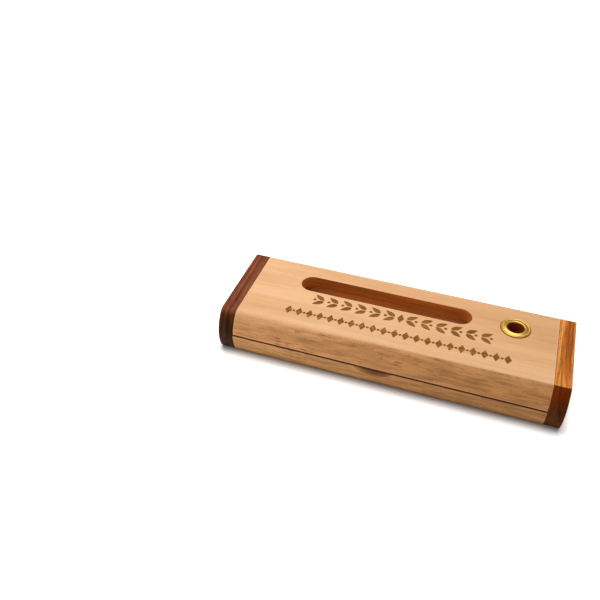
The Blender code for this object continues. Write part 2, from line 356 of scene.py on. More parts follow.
def rod(name, y, z, radius, ends):
    """A rod along X, between two x values in either order."""
    section = circle_section((y, z), radius)
    return lofted(name, [[Vector((x, py, pz)) for py, pz in section] for x in sorted(ends)])


def welded(data):
    """Closes up the slivers that cutting leaves where an edge all but meets a corner."""
    mesh = bmesh.new()
    mesh.from_mesh(data)
    bmesh.ops.remove_doubles(mesh, verts=mesh.verts, dist=WELD_DISTANCE)
    bmesh.ops.dissolve_degenerate(mesh, edges=mesh.edges, dist=WELD_DISTANCE)
    mesh.to_mesh(data)
    mesh.free()


def carve(piece, cutters):
    """Cuts (cutter, material) pairs from a piece. The cut faces take the cutter's material."""
    for cutter, surface in cutters:
        cutter.data.materials.append(surface)
        modifier = piece.modifiers.new(cutter.name, "BOOLEAN")
        modifier.operation = "DIFFERENCE"
        modifier.material_mode = "TRANSFER"
        modifier.object = cutter
    graph = bpy.context.evaluated_depsgraph_get()
    carved = bpy.data.meshes.new_from_object(piece.evaluated_get(graph))
    piece.modifiers.clear()
    welded(carved)
    piece.data = carved
    for cutter, _ in cutters:
        bpy.data.objects.remove(cutter, do_unlink=True)


def smooth(piece, angle=30):
    """Smooth shading that keeps flat faces flat and edges sharper than the angle crisp."""
    piece.data.shade_smooth()
    piece.data.set_sharp_from_angle(angle=radians(angle))
    modifier = piece.modifiers.new("flat_faces", "WEIGHTED_NORMAL")
    modifier.keep_sharp = True
    return piece


# ---- materials


# How far a texture moves along X, Y and Z for each seed.
SEED_STEP = (7.3, 3.1, 5.7)

# The Mix node's colour sockets.
MIX_FIRST, MIX_SECOND, MIX_RESULT = 6, 7, 2

# Flecks: how much shorter some are, which is also how soft their edges are, and how many are faint.
FLECK_SOFTNESS = 0.35
FLECK_FADE = 0.1


def blank_material(name):
    """A new material, its node tree and its shader."""
    made = bpy.data.materials.new(name)
    made.use_nodes = True
    return made, made.node_tree, made.node_tree.nodes["Principled BSDF"]


def feed(tree, socket, value):
    if isinstance(value, bpy.types.NodeSocket):
        tree.links.new(value, socket)
    else:
        socket.default_value = value


def add(tree, kind, inputs=None, **settings):
    """A node of that kind. Its inputs are values, or the sockets that feed them."""
    made = tree.nodes.new("ShaderNode" + kind)
    for name, value in settings.items():
        setattr(made, name, value)
    for name, value in (inputs or {}).items():
        feed(tree, made.inputs[name], value)
    return made


def calc(tree, operation, first, second=0.0):
    return add(tree, "Math", {0: first, 1: second}, operation=operation).outputs[0]


def mix(tree, share, first, second, how="MIX"):
    """Two colours mixed by a share. A plain colour is given as three numbers."""
    made = add(tree, "Mix", {0: share}, data_type="RGBA", blend_type=how)
    for index, colour in ((MIX_FIRST, first), (MIX_SECOND, second)):
        feed(tree, made.inputs[index], (*colour, 1) if isinstance(colour, tuple) else colour)
    return made.outputs[MIX_RESULT]


def tinted(tree, colour, tint, share=1.0):
    """A colour multiplied by another, by that share."""
    return mix(tree, share, colour, tint, "MULTIPLY")


def toned(tree, colour, texture, stops, share=1.0):
    """A colour darkened or lightened by a texture through (value, grey) stops, by that share."""
    return tinted(tree, colour, ramp(tree, texture, stops), share)


def product(tree, first, *others):
    """Numbers multiplied together."""
    for other in others:
        first = calc(tree, "MULTIPLY", first, other)
    return first


def ramp(tree, share, stops):
    """A colour ramp through (position, colour or grey) stops."""
    made = add(tree, "ValToRGB", {"Fac": share})
    elements = made.color_ramp.elements
    while len(elements) < len(stops):
        elements.new(0.5)
    for element, (position, colour) in zip(elements, stops):
        element.position = position
        element.color = (*colour, 1) if isinstance(colour, tuple) else (colour, colour, colour, 1)
    return made.outputs["Color"]


def window(tree, value, low, high):
    """0 at low, 1 at high, and smooth between. With high under low it falls instead."""
    inputs = {"Value": value, "From Min": low, "From Max": high}
    made = add(tree, "MapRange", inputs, interpolation_type="SMOOTHSTEP")
    return made.outputs["Result"]


def part_place(tree):
    return add(tree, "TexCoord").outputs["Object"]


def stretched(tree, place, scale, seed):
    """A place stretched by a scale for each axis and moved by a seed."""
    shift = tuple(step * seed for step in SEED_STEP)
    return add(tree, "Mapping", {"Vector": place, "Scale": scale, "Location": shift}).outputs["Vector"]


def noise(tree, scale, seed, detail=3.0, distortion=0.0, place=None):
    vector = stretched(tree, place or part_place(tree), scale, seed)
    inputs = {"Vector": vector, "Scale": 1.0, "Detail": detail, "Distortion": distortion}
    return add(tree, "TexNoise", inputs).outputs[0]


def wavering(tree, scale, seed, amount):
    """The place in the part, pushed about smoothly by that amount, so that grain isn't dead straight."""
    vector = stretched(tree, part_place(tree), scale, seed)
    push = add(tree, "TexNoise", {"Vector": vector, "Scale": 1.0, "Detail": 2.0}).outputs["Color"]
    centred = add(tree, "VectorMath", {0: push, 1: (0.5, 0.5, 0.5)}, operation="SUBTRACT").outputs[0]
    inputs = {0: centred, 1: amount, 2: part_place(tree)}
    return add(tree, "VectorMath", inputs, operation="MULTIPLY_ADD").outputs[0]


def flecks(tree, place, seed, scale, rarity, size):
    """Short dashes of uneven length, in the cells that a random number lets through."""
    vector = stretched(tree, place, scale, seed)
    cells = add(tree, "TexVoronoi", {"Vector": vector, "Scale": 1.0})
    chance = add(tree, "SeparateColor", {"Color": cells.outputs["Color"]})
    reach = product(tree, calc(tree, "ADD", chance.outputs[1], FLECK_SOFTNESS), size)
    depth = calc(tree, "SUBTRACT", reach, cells.outputs["Distance"])
    inside = window(tree, depth, 0.0, size * FLECK_SOFTNESS)
    return product(tree, window(tree, chance.outputs[0], rarity, rarity + FLECK_FADE), inside)


def axis_of(tree, output, axis):
    """One axis of a texture coordinate: Object for the place, Normal for the way that a face looks."""
    vector = add(tree, "TexCoord").outputs[output]
    return add(tree, "SeparateXYZ", {"Vector": vector}).outputs[axis]


def axis_size(tree, output, axis):
    return calc(tree, "ABSOLUTE", axis_of(tree, output, axis))


def finish(tree, shader, look, colour, texture, height):
    """Gives a shader its colour, a roughness that follows a texture, its gloss and its relief."""
    tree.links.new(colour, shader.inputs["Base Color"])
    tree.links.new(ramp(tree, texture, look["roughness"]), shader.inputs["Roughness"])
    shader.inputs["Specular IOR Level"].default_value = look["specular"]
    inputs = {"Height": height, "Strength": look["bump"], "Distance": look["relief"]}
    tree.links.new(add(tree, "Bump", inputs).outputs["Normal"], shader.inputs["Normal"])


# Beech colours, from its light to its dark bands, then tints for each end, painted shade for the sides, and
# its marks.
BEECH_LIGHT = (0.710, 0.418, 0.222)
BEECH_MID = (0.668, 0.378, 0.188)
BEECH_DARK = (0.615, 0.332, 0.156)
BEECH_LEFT = (1.05, 1.05, 1.06)
BEECH_RIGHT = (0.88, 0.86, 0.82)
# Painted shade for the sides, as tints: a plain one and a redder one.
BEECH_SIDE_SHADE = (0.79, 0.66, 0.46)
BEECH_SIDE_SHADE_RED = (0.88, 0.66, 0.46)
BEECH_SIDE_RIGHT = (0.88, 0.88, 0.86)
BEECH_SIDE_LOW = (0.87, 0.93, 0.93)
BEECH_RAY = (0.17, 0.062, 0.018)
# The pale edge colour: partly wear, partly painted highlight.
BEECH_EDGE = (0.86, 0.62, 0.40)
# Painted shade for the gap between lid and base.
SEAM_SHADE = (0.085, 0.015, 0.0)
# Painted shade for faces that look down.
UNDERSIDE_SHADE = (0.30, 0.27, 0.25)

# Beech textures: how many features a metre holds along X, Y and Z, and their character.
BEECH_WAVER = {"scale": (14, 45, 60), "amount": (0.004, 0.0012, 0.0012)}
BEECH_BANDS = {"scale": (6, 65, 90), "detail": 2, "distortion": 0.5}
BEECH_STREAKS = {"scale": (22, 480, 560), "detail": 3}
BEECH_FIBRES = {"scale": (110, 2600, 2600), "detail": 2}
BEECH_REDNESS = {"scale": (30, 60, 160), "detail": 2}
BEECH_CLOUDS = {"scale": (55, 230, 260), "detail": 4, "distortion": 0.6}
BEECH_DASHES = {"scale": (80, 620, 720), "detail": 4}
BEECH_RAYS = {"scale": (230, 1500, 1500), "rarity": 0.60, "size": 0.42}
BEECH_PORES = {"scale": (560, 2800, 2800), "rarity": 0.5, "size": 0.5}
BEECH_RAY_PATCHES = {"scale": (45, 160, 160), "detail": 2}

# What a texture's values turn into, as (value, colour or grey) stops, and some with the share that shows.
BAND_COLOURS = [(0.32, BEECH_DARK), (0.48, BEECH_MID), (0.66, BEECH_LIGHT)]
STREAK_TONES = ([(0.3, 0.88), (0.5, 1.0)], 0.7)
FIBRE_TONES = ([(0.3, 0.86), (0.6, 1.0)], 0.6)
CLOUD_TONES = [(0.36, 0.86), (0.54, 0.98)]
DASH_TONES = [(0.36, 0.80), (0.6, 1.16)]
RAY_PATCH_RANGE = (0.38, 0.6)
FIBRE_RELIEF = 0.5
BEECH_LOOK = {"roughness": [(0.3, 0.62), (0.7, 0.48)], "specular": 0.09, "bump": 0.25, "relief": 0.05 * MM}

# How strongly rays, pores and pale edges, partly wear and partly painted highlight, show on a flat face, and
# what a side adds to that, or takes off.
RAY_SHARE = (0.07, 0.74)
PORE_SHARE = (0.04, 0.30)
WORN_AND_HIGHLIGHT_SHARE = (0.28, 0.22)
WORN_AND_HIGHLIGHT_WIDTH = 0.3 * MM

# Where the sides' painted shade sets in, by how far a face looks to the front or back, and its softer start on
# the left. Where the underside's painted shade does, by how far a face looks down.
SIDE_FACING = (0.25, 0.85)
SOFT_SHARE = 0.55
SOFT_FROM_X = -0.1 * HALF_LENGTH
SOFT_DEPTH = (1.5 * MM, 8 * MM)
UNDERSIDE_FACING = (-0.62, -0.85)

# The seam's painted shade line reaches this far up and down, and fades out at a multiple of that. The pale
# line above it, partly wear and partly painted highlight, starts and ends between such multiples. Both lie on
# the outer surface only.
SEAM_SHADE_HEIGHT = 0.50 * MM
SEAM_SHADE_FADE = 1.2
SEAM_SHADE_SHARE = 0.95
PALE_LINE_START = (1.0, 1.3)
PALE_LINE_END = (2.4, 1.6)
PALE_LINE_SHARE = 0.22
SEAM_SURFACE = (HALF_WIDTH - 0.7 * MM, HALF_WIDTH - 0.4 * MM)


def beech_grain(tree, seed):
    """Beech colours with soft bands, streaks and fibres along X, and a slow change of tone along the box."""
    place = wavering(tree, seed=seed + 5, **BEECH_WAVER)
    bands = noise(tree, seed=seed, place=place, **BEECH_BANDS)
    streaks = noise(tree, seed=seed + 1, place=place, **BEECH_STREAKS)
    fibres = noise(tree, seed=seed + 2, place=place, **BEECH_FIBRES)
    tone = mix(tree, rightward(tree), BEECH_LEFT, BEECH_RIGHT)
    colour = tinted(tree, ramp(tree, bands, BAND_COLOURS), tone)
    colour = toned(tree, colour, streaks, *STREAK_TONES)
    colour = toned(tree, colour, fibres, *FIBRE_TONES)
    return place, streaks, fibres, colour


def rightward(tree):
    """0 at the box's left end and 1 at its right end."""
    return window(tree, axis_of(tree, "Object", 0), -HALF_LENGTH, HALF_LENGTH)


def beech_side_share(tree):
    """1 on the sides and 0 on flat faces, for the sides' painted shade and marks. It sets in lower at the left
    end, where the top edge is rounder.
    """
    facing = window(tree, axis_size(tree, "Normal", 1), *SIDE_FACING)
    leftward = window(tree, axis_of(tree, "Object", 0), SOFT_FROM_X, -HALF_LENGTH)
    depths = (HEIGHT - depth for depth in SOFT_DEPTH)
    under_edge = window(tree, axis_of(tree, "Object", 2), *depths)
    softened = product(tree, leftward, SOFT_SHARE, calc(tree, "SUBTRACT", 1.0, under_edge))
    return product(tree, facing, calc(tree, "SUBTRACT", 1.0, softened))


def beech_side_shade_tint(tree, seed, place):
    """The sides' painted shade, as a tint: redder in places, darker to the right and below the seam, with
    clouds and dashes.
    """
    tint = mix(tree, noise(tree, seed=seed + 6, **BEECH_REDNESS), BEECH_SIDE_SHADE_RED, BEECH_SIDE_SHADE)
    tint = mix(tree, rightward(tree), tint, tinted(tree, tint, BEECH_SIDE_RIGHT))
    low = window(tree, axis_of(tree, "Object", 2), LID_BOTTOM, BASE_TOP)
    tint = mix(tree, low, tint, tinted(tree, tint, BEECH_SIDE_LOW))
    clouds = noise(tree, seed=seed + 8, place=place, **BEECH_CLOUDS)
    dashes = noise(tree, seed=seed + 9, place=place, **BEECH_DASHES)
    return toned(tree, toned(tree, tint, clouds, CLOUD_TONES), dashes, DASH_TONES)


def shown_share(tree, marks, on_side, share):
    """How strongly marks show, from their share on a flat face and what a side adds to it."""
    return product(tree, marks, calc(tree, "ADD", product(tree, on_side, share[1]), share[0]))


def worn_and_highlit_end_share(tree, end_x, on_side):
    """How pale the edges at the two ends are, partly wear and partly painted highlight: more on flat faces
    than on the sides.
    """
    along = axis_size(tree, "Object", 0)
    worn_and_highlit = window(tree, along, end_x - 2 * WORN_AND_HIGHLIGHT_WIDTH, end_x - WORN_AND_HIGHLIGHT_WIDTH)
    return product(tree, worn_and_highlit, calc(tree, "SUBTRACT", WORN_AND_HIGHLIGHT_SHARE[0], product(tree, on_side, WORN_AND_HIGHLIGHT_SHARE[1])))


def seam_shade_and_pale_line(tree, colour):
    """The colour with painted shade along the seam on both parts, and a pale line above it, partly wear and
    partly painted highlight.
    """
    above_seam = calc(tree, "SUBTRACT", axis_of(tree, "Object", 2), (BASE_TOP + LID_BOTTOM) / 2)
    outside = window(tree, axis_size(tree, "Object", 1), *SEAM_SURFACE)
    starts = window(tree, above_seam, *(SEAM_SHADE_HEIGHT * times for times in PALE_LINE_START))
    ends = window(tree, above_seam, *(SEAM_SHADE_HEIGHT * times for times in PALE_LINE_END))
    pale = product(tree, starts, ends, PALE_LINE_SHARE, outside)
    off_seam = calc(tree, "ABSOLUTE", above_seam)
    at_seam = window(tree, off_seam, SEAM_SHADE_HEIGHT * SEAM_SHADE_FADE, SEAM_SHADE_HEIGHT)
    painted_shade = product(tree, at_seam, outside, SEAM_SHADE_SHARE)
    # Painted shade along the seam, over a pale line that is partly painted highlight.
    return mix(tree, painted_shade, mix(tree, pale, colour, BEECH_EDGE), SEAM_SHADE)


def beech(name, seed, end_x):
    """Lacquered beech, its grain along X, with dark rays and painted shade on its sides, painted shade at the
    seam and underneath, and paler ends, partly wear and partly painted highlight.
    """
    made, tree, shader = blank_material(name)
    place, streaks, fibres, colour = beech_grain(tree, seed)
    on_side = beech_side_share(tree)
    # Painted shade: the sides take a darker, redder tint than the top.
    colour = mix(tree, on_side, colour, tinted(tree, colour, beech_side_shade_tint(tree, seed, place)))
    rays = flecks(tree, place, seed + 3, **BEECH_RAYS)
    pores = flecks(tree, place, seed + 4, **BEECH_PORES)
    patchy = window(tree, noise(tree, seed=seed + 7, **BEECH_RAY_PATCHES), *RAY_PATCH_RANGE)
    ray_share = product(tree, shown_share(tree, rays, on_side, RAY_SHARE), patchy)
    colour = mix(tree, ray_share, colour, BEECH_RAY)
    colour = mix(tree, shown_share(tree, pores, on_side, PORE_SHARE), colour, BEECH_RAY)
    # Painted shade: faces that look down are darker.
    facing_down = window(tree, axis_of(tree, "Normal", 2), *UNDERSIDE_FACING)
    colour = mix(tree, facing_down, colour, tinted(tree, colour, UNDERSIDE_SHADE))
    # Paler ends: partly wear, partly painted highlight.
    colour = mix(tree, worn_and_highlit_end_share(tree, end_x, on_side), colour, BEECH_EDGE)
    height = calc(tree, "SUBTRACT", product(tree, fibres, FIBRE_RELIEF), calc(tree, "ADD", rays, pores))
    finish(tree, shader, BEECH_LOOK, seam_shade_and_pale_line(tree, colour), streaks, height)
    return made


ROUTED_WAVER = {"scale": (20, 60, 60), "amount": (0.003, 0.001, 0.001)}
ROUTED_STROKES = {"scale": (18, 420, 900), "detail": 4, "distortion": 0.4}
ROUTED_PATCHES = {"scale": (28, 70, 90), "detail": 2}
ROUTED_PATCH_TONES = ([(0.35, 0.72), (0.6, 1.0)], 0.8)
ROUTED_LOOK = {"roughness": [(0.3, 0.7), (0.7, 0.55)], "specular": 0.15, "bump": 0.3, "relief": 0.08 * MM}
BED_COLOURS = ((0.56, 0.235, 0.070), (0.72, 0.355, 0.130))
# The window's walls are darker and redder than the beech outside.
WINDOW_COLOURS = ((0.54, 0.165, 0.026), (0.74, 0.275, 0.055))


def routed_beech(name, seed, dark, light):
    """Routed beech between a dark and a light colour, with fine strokes along the cut."""
    made, tree, shader = blank_material(name)
    place = wavering(tree, seed=seed + 5, **ROUTED_WAVER)
    strokes = noise(tree, seed=seed, place=place, **ROUTED_STROKES)
    patches = noise(tree, seed=seed + 1, **ROUTED_PATCHES)
    colour = ramp(tree, strokes, [(0.3, dark), (0.7, light)])
    colour = toned(tree, colour, patches, *ROUTED_PATCH_TONES)
    finish(tree, shader, ROUTED_LOOK, colour, strokes, strokes)
    return made


# The scoop's painted-shade colours, where its darker painted shade lies, and how much of its height the lid's
# edge hides.
# The tint is the sides' painted shade; the other two colours are painted shade and painted shadow.
SCOOP_SIDE_SHADE = (0.70, 0.56, 0.36)
SCOOP_SHADE = (0.235, 0.060, 0.008)
SCOOP_LID_SHADOW = (0.075, 0.010, 0.0)
SCOOP_LID_SHADOW_SHARE = 0.9
SCOOP_SHADE_SHIFT = 1.2 * MM
SCOOP_SHADE_REACH = (1.0, 0.2)
SCOOP_HIDDEN = 0.40
SCOOP_LID_SHADOW_DOWN = (SCOOP_HIDDEN + 0.24, SCOOP_HIDDEN + 0.06)
SCOOP_SHADE_MOTTLE = {"scale": (90, 300, 300)}
SHADE_MOTTLE_TONES = [(0.3, 0.75), (0.6, 1.0)]
SCOOP_LOOK = {"roughness": [(0.3, 0.65), (0.7, 0.5)], "specular": 0.2, "bump": 0.2, "relief": 0.05 * MM}


def squared_share(tree, value, size):
    """A value as a share of a size, and that share squared."""
    share = calc(tree, "DIVIDE", value, size)
    return share, product(tree, share, share)


def scoop_beech(name, seed):
    """The scoop's wood, tinted like the sides' painted shade at its lower rim, with painted shade deeper in
    and a painted shadow under the lid's edge.
    """
    made, tree, shader = blank_material(name)
    _, streaks, fibres, colour = beech_grain(tree, seed)
    colour = tinted(tree, colour, SCOOP_SIDE_SHADE)
    x = axis_of(tree, "Object", 0)
    depth = calc(tree, "SUBTRACT", BASE_TOP, axis_of(tree, "Object", 2))
    down, down_squared = squared_share(tree, depth, SCOOP_HEIGHT)
    from_shade_centre = calc(tree, "SUBTRACT", x, SCOOP_X + SCOOP_SHADE_SHIFT)
    _, along_squared = squared_share(tree, from_shade_centre, SCOOP_HALF_LENGTH)
    shaded = window(tree, calc(tree, "ADD", along_squared, down_squared), *SCOOP_SHADE_REACH)
    mottle = ramp(tree, noise(tree, seed=seed + 1, **SCOOP_SHADE_MOTTLE), SHADE_MOTTLE_TONES)
    # Painted shade, deepest under the seam, mottled.
    colour = mix(tree, product(tree, shaded, mottle), colour, SCOOP_SHADE)
    _, across_squared = squared_share(tree, calc(tree, "SUBTRACT", x, SCOOP_X), SCOOP_HALF_LENGTH)
    # Painted shadow of the lid's edge.
    under_lid = calc(tree, "ADD", down, product(tree, across_squared, SCOOP_HIDDEN))
    painted_shade = product(tree, window(tree, under_lid, *SCOOP_LID_SHADOW_DOWN), SCOOP_LID_SHADOW_SHARE)
    finish(tree, shader, SCOOP_LOOK, mix(tree, painted_shade, colour, SCOOP_LID_SHADOW), streaks, fibres)
    return made


BURNT_COLOURS = [(0.32, (0.165, 0.055, 0.009)), (0.68, (0.330, 0.130, 0.030))]
BURNT_GRAIN = {"scale": (60, 900, 900), "detail": 3}
BURNT_CHAR = {"scale": (420, 420, 420), "detail": 2}
CHAR_TONES = ([(0.35, 0.62), (0.6, 1.0)], 0.7)
BURNT_LOOK = {"roughness": [(0.3, 0.9), (0.7, 0.7)], "specular": 0.1, "bump": 0.3, "relief": 0.06 * MM}


def burnt_beech(name, seed):
    """The floor and walls of the laser engraving: scorched wood with the grain still in it."""
    made, tree, shader = blank_material(name)
    grain = noise(tree, seed=seed, **BURNT_GRAIN)
    char = noise(tree, seed=seed + 1, **BURNT_CHAR)
    colour = toned(tree, ramp(tree, grain, BURNT_COLOURS), char, *CHAR_TONES)
    finish(tree, shader, BURNT_LOOK, colour, char, grain)
    return made


# Each cap's rosewood: where the painted shade of its sides sets in, its layers, and that painted shade's tints
# high and low.
LEFT_ROSEWOOD = {
    "side_shade_from": (0.45, 0.97),
    "dark": (0.105, 0.028, 0.012),
    "mid": (0.215, 0.058, 0.025),
    "light": (0.320, 0.098, 0.041),
    "side_shade_high": (0.28, 0.26, 0.14),
    "side_shade_low": (0.22, 0.27, 0.18),
}
RIGHT_ROSEWOOD = {
    "side_shade_from": (0.2, 0.62),
    "dark": (0.300, 0.072, 0.008),
    "mid": (0.540, 0.165, 0.024),
    "light": (0.700, 0.300, 0.075),
    "side_shade_high": (0.24, 0.10, 0.02),
    "side_shade_low": (0.130, 0.080, 0.015),
}
ROSEWOOD_WAVER = {"scale": (150, 55, 60), "amount": (0.0016, 0.004, 0.002)}
ROSEWOOD_LAYERS = {"scale": (330, 14, 40), "detail": 3, "distortion": 1.2}
ROSEWOOD_LINES = {"scale": (1300, 24, 200), "detail": 3, "distortion": 0.4}
ROSEWOOD_FIBRES = {"scale": (3200, 110, 1400), "detail": 2}
ROSEWOOD_PORES = {"scale": (2400, 330, 2400), "rarity": 0.55, "size": 0.5}
ROSEWOOD_LINE_TONES = ([(0.34, 0.5), (0.52, 1.0)], 0.8)
ROSEWOOD_FIBRE_TONES = ([(0.3, 0.78), (0.6, 1.0)], 0.6)
ROSEWOOD_ROUGHNESS = [(0.3, 0.55), (0.7, 0.42)]
ROSEWOOD_LOOK = {"roughness": ROSEWOOD_ROUGHNESS, "specular": 0.035, "bump": 0.25, "relief": 0.05 * MM}
ROSEWOOD_PORE_SHARE = 0.4
PORE_DARKNESS = 0.25
SIDE_SHADE_HEIGHTS = (HEIGHT * 0.85, HEIGHT * 0.4)
SIDE_SHADE_SLOPE = 0.6


def rosewood_side_shade(tree, wood):
    """The painted shade on a cap's sides, from its high to its low colour, lower down the nearer the joint."""
    from_joint = calc(tree, "SUBTRACT", axis_size(tree, "Object", 0), CAP_INNER_X)
    level = calc(tree, "SUBTRACT", axis_of(tree, "Object", 2), product(tree, from_joint, SIDE_SHADE_SLOPE))
    return mix(tree, window(tree, level, *SIDE_SHADE_HEIGHTS), wood["side_shade_high"], wood["side_shade_low"])


def rosewood(name, seed, wood):
    """Rosewood with its grain along Y: dark and light layers across X, open pores, and painted shade on its
    sides.
    """
    made, tree, shader = blank_material(name)
    place = wavering(tree, seed=seed + 5, **ROSEWOOD_WAVER)
    layers = noise(tree, seed=seed, place=place, **ROSEWOOD_LAYERS)
    lines = noise(tree, seed=seed + 1, place=place, **ROSEWOOD_LINES)
    fibres = noise(tree, seed=seed + 2, place=place, **ROSEWOOD_FIBRES)
    colour = ramp(tree, layers, [(0.32, wood["dark"]), (0.48, wood["mid"]), (0.66, wood["light"])])
    colour = toned(tree, colour, lines, *ROSEWOOD_LINE_TONES)
    colour = toned(tree, colour, fibres, *ROSEWOOD_FIBRE_TONES)
    on_side = window(tree, axis_size(tree, "Normal", 1), *wood["side_shade_from"])
    # Painted shade: the cap's sides take a dark tint.
    colour = mix(tree, on_side, colour, tinted(tree, colour, rosewood_side_shade(tree, wood)))
    pores = flecks(tree, place, seed + 3, **ROSEWOOD_PORES)
    pore_colour = tuple(channel * PORE_DARKNESS for channel in wood["dark"])
    colour = mix(tree, product(tree, pores, ROSEWOOD_PORE_SHARE), colour, pore_colour)
    finish(tree, shader, ROSEWOOD_LOOK, colour, lines, calc(tree, "SUBTRACT", fibres, pores))
    return made


BRASS = (0.55, 0.325, 0.070)
BRASS_FILM = (0.42, 0.235, 0.050)
STEEL = (0.56, 0.56, 0.57)
STEEL_FILM = (0.42, 0.42, 0.42)
NICKEL = (0.60, 0.58, 0.55)
NICKEL_FILM = (0.44, 0.42, 0.40)
METAL_FILM = {"scale": (350, 350, 350), "detail": 3}
METAL_MARKS = {"scale": (2500, 2500, 600), "detail": 2}
FILM_SHARES = [(0.4, 0.0), (0.7, 0.7)]
MARK_ROUGHNESS = (0.8, 1.3)
# Painted shade for the bore of the socket.
BORE_SHADE_MOTTLE = {"scale": (700, 700, 300), "detail": 3}
BORE_SHADE_SEED = 41
BORE_SHADE_COLOURS = [(0.3, (0.20, 0.022, 0.003)), (0.7, (0.38, 0.055, 0.008))]
BORE_SHADE_LOOK = {"roughness": [(0.3, 0.6), (0.7, 0.5)], "specular": 0.2, "bump": 0.1, "relief": 0.02 * MM}


def metal(name, seed, colour, film_colour, roughness):
    """Metal with faint handling marks and a duller film in patches."""
    made, tree, shader = blank_material(name)
    film = noise(tree, seed=seed, **METAL_FILM)
    marks = noise(tree, seed=seed + 1, **METAL_MARKS)
    shown = mix(tree, ramp(tree, film, FILM_SHARES), colour, film_colour)
    rough, rougher = (roughness * times for times in MARK_ROUGHNESS)
    look = {"roughness": [(0.3, rough), (0.7, rougher)], "specular": 0.5, "bump": 0.08, "relief": 0.02 * MM}
    finish(tree, shader, look, shown, marks, marks)
    shader.inputs["Metallic"].default_value = 1.0
    return made


def bore_shade(name):
    """Painted shade inside the brass tube: dark red-brown."""
    made, tree, shader = blank_material(name)
    film = noise(tree, seed=BORE_SHADE_SEED, **BORE_SHADE_MOTTLE)
    finish(tree, shader, BORE_SHADE_LOOK, ramp(tree, film, BORE_SHADE_COLOURS), film, film)
    return made


PAPER_GRAIN = {"scale": (300, 300, 300), "detail": 2}
PAPER_SEED = 51
PAPER_COLOURS = [(0.3, (0.915, 0.93, 0.94)), (0.7, (0.92, 0.94, 0.95))]


def paper(name):
    """The studio's white table. Its glow fades out close to the box, a painted contact shadow, and makes up
    for the light far away.
    """
    made, tree, shader = blank_material(name)
    grain = noise(tree, seed=PAPER_SEED, **PAPER_GRAIN)
    tree.links.new(ramp(tree, grain, PAPER_COLOURS), shader.inputs["Base Color"])
    shader.inputs["Roughness"].default_value = 0.9
    shader.inputs["Specular IOR Level"].default_value = 0.1
    shader.inputs["Emission Color"].default_value = (1, 1, 1, 1)
    size = add(tree, "VectorMath", {0: part_place(tree)}, operation="ABSOLUTE").outputs[0]
    beyond = add(tree, "VectorMath", {0: size, 1: FOOTPRINT}, operation="SUBTRACT").outputs[0]
    outside = add(tree, "VectorMath", {0: beyond, 1: (0, 0, 0)}, operation="MAXIMUM").outputs[0]
    distance = add(tree, "VectorMath", {0: outside}, operation="LENGTH").outputs["Value"]
    # Painted contact shadow: no glow at the box's footprint, full glow a little way out.
    near = product(tree, window(tree, distance, 0.0, PAINTED_SHADOW_REACH), TABLE_GLOW)
    far = product(tree, window(tree, distance, FAR_GLOW_FROM, FAR_GLOW_TO), FAR_GLOW)
    tree.links.new(calc(tree, "ADD", near, far), shader.inputs["Emission Strength"])
    return made


# ---- the ornament


def turned_to(points, x, y, angle):
    """Plan points turned by an angle and moved to a place."""
    c, s = cos(angle), sin(angle)
    return [(x + px * c - py * s, y + px * s + py * c) for px, py in points]


def leaf():
    """A pointed leaf lying along X from its stalk at the origin."""
    upper = []
    for step in range(LEAF_STEPS + 1):
        share = step / LEAF_STEPS
        upper.append((LEAF_LENGTH * share, LEAF_WIDTH / 2 * sin(pi * share**LEAF_FULLNESS)))
    return upper + [(px, -py) for px, py in reversed(upper[1:-1])]


def diamond(length, width):
    return [(length / 2, 0), (0, width / 2), (-length / 2, 0), (0, -width / 2)]


def dot(radius):
    return arc((0, 0), radius, 0, 2 * pi, DOT_STEPS)[:-1]


def leaf_row():
    """Pairs of leaves with a berry in each fork, pointing outwards from a diamond in the middle."""
    row = LEAF_ROW
    middle = (row["low"] + row["high"]) / 2
    pitch = (row["high"] - row["low"]) / row["count"]
    shapes = [turned_to(diamond(*MIDDLE_DIAMOND), middle, row["y"], 0)]
    for side in (-1, 1):
        heading = 0 if side > 0 else pi
        for step in range(row["count"] // 2):
            x = middle + side * (LEAF_START + step * pitch)
            for tilt in (-1, 1):
                angle = heading + tilt * radians(LEAF_TILT)
                y = row["y"] + sin(angle) * LEAF_STALK
                shapes.append(turned_to(leaf(), x, y, angle))
            shapes.append(turned_to(dot(BERRY_RADIUS), x + side * BERRY_REACH, row["y"], 0))
    return shapes


def diamond_row():
    """Diamonds with a dot between each two."""
    row = DIAMOND_ROW
    pitch = (row["high"] - row["low"]) / row["count"]
    shapes = []
    for step in range(row["count"]):
        x = row["low"] + pitch * (step + 0.5)
        shapes.append(turned_to(diamond(*DIAMOND), x, row["y"], 0))
        if step:
            shapes.append(turned_to(dot(DOT_RADIUS), x - pitch / 2, row["y"], 0))
    return shapes


def stamp(name, shapes):
    """A cutter that sinks every shape into the lid's top."""
    mesh = bmesh.new()
    for shape in shapes:
        loops = []
        for z in (HEIGHT - ENGRAVING_DEPTH, HEIGHT + OVERSHOOT):
            loops.append([mesh.verts.new((x, y, z)) for x, y in shape])
            mesh.faces.new(loops[-1])
        for i in range(len(shape)):
            following = (i + 1) % len(shape)
            mesh.faces.new((loops[0][i], loops[0][following], loops[1][following], loops[1][i]))
    return object_from(name, mesh)


# ---- the pieces


def magnet_pockets(face_z, inward, depth, surface):
    """Cutters for the two disc pockets in a meeting face."""
    radius = (MAGNET_HIGH.x - MAGNET_LOW.x) / 2 + CLEARANCE
    x = (MAGNET_LOW.x + MAGNET_HIGH.x) / 2
    y = (MAGNET_LOW.y + MAGNET_HIGH.y) / 2
    levels = sorted([(face_z - inward * OVERSHOOT, radius), (face_z + inward * depth, radius)])
    return [(routed(f"cut_magnet{sign}", sign * x, y, 0, levels), surface) for sign in (-1, 1)]


